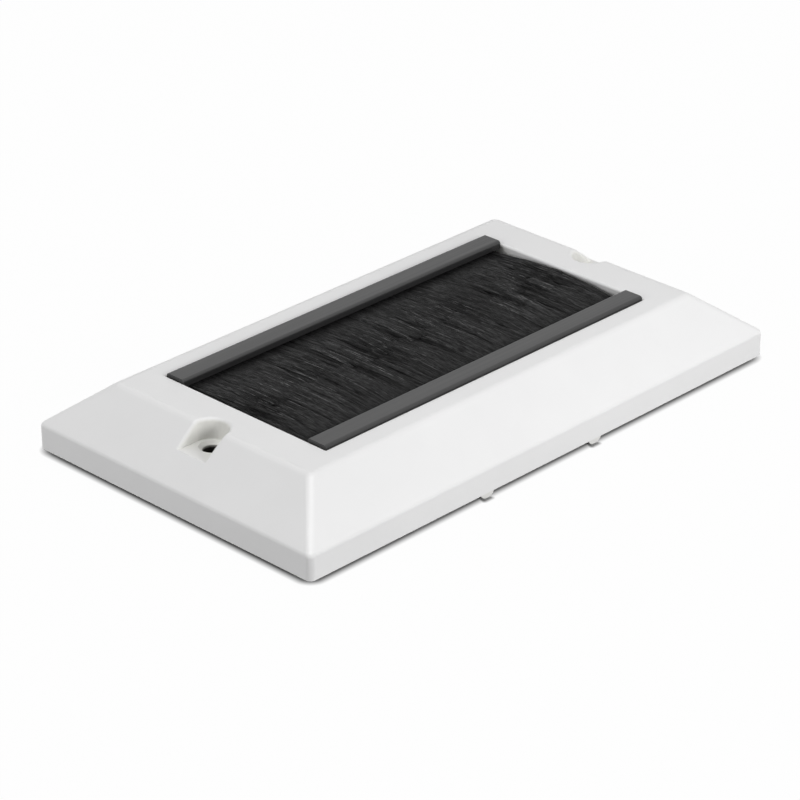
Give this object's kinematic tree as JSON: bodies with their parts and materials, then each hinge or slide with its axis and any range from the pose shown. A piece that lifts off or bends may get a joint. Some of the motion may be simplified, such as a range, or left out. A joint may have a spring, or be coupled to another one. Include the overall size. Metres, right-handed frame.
{
  "type": "brush wall plate",
  "caption": "Rectangular bevelled wall plate whose long opening is closed by facing brush strips, so that cables pass through the wall between the bristles.",
  "frame": {"origin": "centre of the back plane, midway between the fixing holes", "axes": "+X along the long side, +Y across towards the rear brush strip, +Z out of the wall"},
  "size_m": [0.146, 0.086, 0.0197],
  "materials": {
    "white_plastic": "satin moulded",
    "dark_plastic": "satin extruded",
    "bristle": "fine fibres",
    "steel_wire": "drawn"
  },
  "bodies": {
    "root": {"plate": "white_plastic", "rear_brush_holder": "dark_plastic", "front_brush_holder": "dark_plastic", "rear_bristles": "bristle", "front_bristles": "bristle", "rear_core_wire": "steel_wire", "front_core_wire": "steel_wire"}
  },
  "joints": []
}
